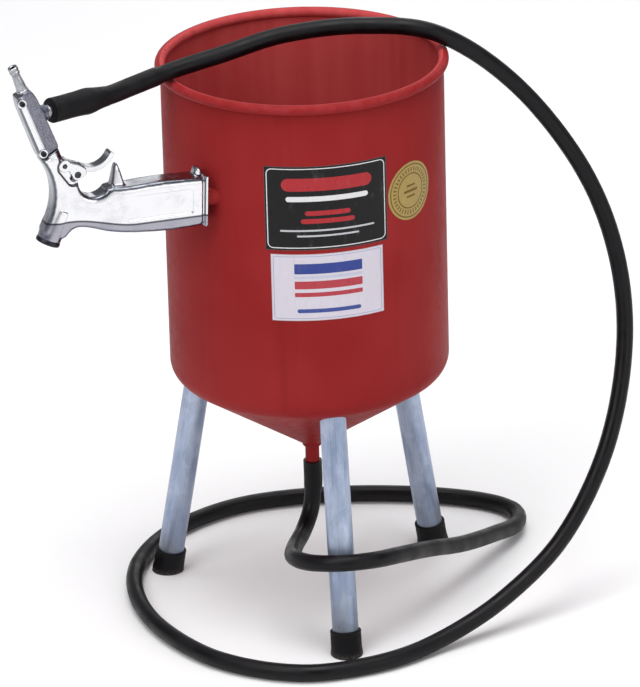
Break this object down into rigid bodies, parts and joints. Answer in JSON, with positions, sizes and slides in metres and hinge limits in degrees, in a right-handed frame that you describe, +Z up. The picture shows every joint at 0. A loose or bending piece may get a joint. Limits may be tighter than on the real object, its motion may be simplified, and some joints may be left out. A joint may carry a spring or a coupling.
{
  "type": "abrasive blaster",
  "caption": "Open-topped sand blaster: round steel hopper with a cone bottom on three splayed tube legs, a long rubber hose and a trigger blast gun parked on a peg.",
  "frame": {"origin": "on the floor, at the middle of the bounding box of everything but the hose; the hopper's axis is at x 66 mm, y 24 mm", "axes": "+Z up from the floor, -Y towards the side with the labels, +X to the right of the labels"},
  "size_m": [0.5892, 0.4332, 0.6239],
  "materials": {
    "hopper_paint": "semi-gloss red paint",
    "zinc_tube": "dull galvanised",
    "steel": "bright machined",
    "cast_aluminium": "polished casting",
    "brass": "turned",
    "moulded_rubber": "satin black",
    "hose_rubber": "satin black",
    "dark_label": "gloss vinyl",
    "white_label": "gloss vinyl",
    "gold_label": "metallic gold vinyl"
  },
  "bodies": {
    "tank": {"hopper_shell": "hopper_paint", "rim_wire": "steel", "spout": "hopper_paint", "main_label": "dark_label", "lower_label": "white_label", "round_label": "gold_label", "leg_stub_front": "steel", "leg_stub_right": "steel", "leg_stub_left": "steel", "leg_front": "zinc_tube", "leg_right": "zinc_tube", "leg_left": "zinc_tube", "foot_front": "moulded_rubber", "foot_right": "moulded_rubber", "foot_left": "moulded_rubber", "hanger_boss": "hopper_paint", "hanger_peg": "steel", "hose": "hose_rubber"},
    "gun": {"gun_body": "cast_aluminium", "mixing_head": "cast_aluminium", "head_cover": "cast_aluminium", "head_screws": "steel", "nozzle": "steel", "air_jet": "brass", "jet_washer": "moulded_rubber", "hose_barb": "steel", "hose_cuff": "hose_rubber", "trigger_pin": "steel", "stem_bushing": "steel", "stem_seal": "moulded_rubber", "valve_seat": "brass", "valve_spring": "steel", "air_inlet": "steel"},
    "trigger": {"trigger": "cast_aluminium", "roller_pin": "steel"},
    "valve": {"valve_stem": "steel", "poppet_seal": "moulded_rubber"}
  },
  "joints": [
    {"name": "gun_unhook", "type": "slide", "parent": "tank", "child": "gun", "axis": [-0.9263, -0.3743, 0.0436], "range_m": [0, 0.04]},
    {"name": "trigger_pull", "type": "hinge", "parent": "gun", "child": "trigger", "pos_m": [-0.16036, -0.13617, 0.51819], "axis": [-0.3746, 0.9272, 0], "range_deg": [0, 14], "stiffness_Nm_per_rad": 1.5, "springref_deg": -14.32},
    {"name": "valve_stem_slide", "type": "slide", "parent": "gun", "child": "valve", "axis": [-0.3918, -0.1583, -0.9063], "range_m": [0, 0.0039], "deforming": ["valve_spring"]}
  ],
  "couplings": [
    {"joint": "valve_stem_slide", "follows": "trigger_pull", "m_per_rad": 0.01565}
  ]
}
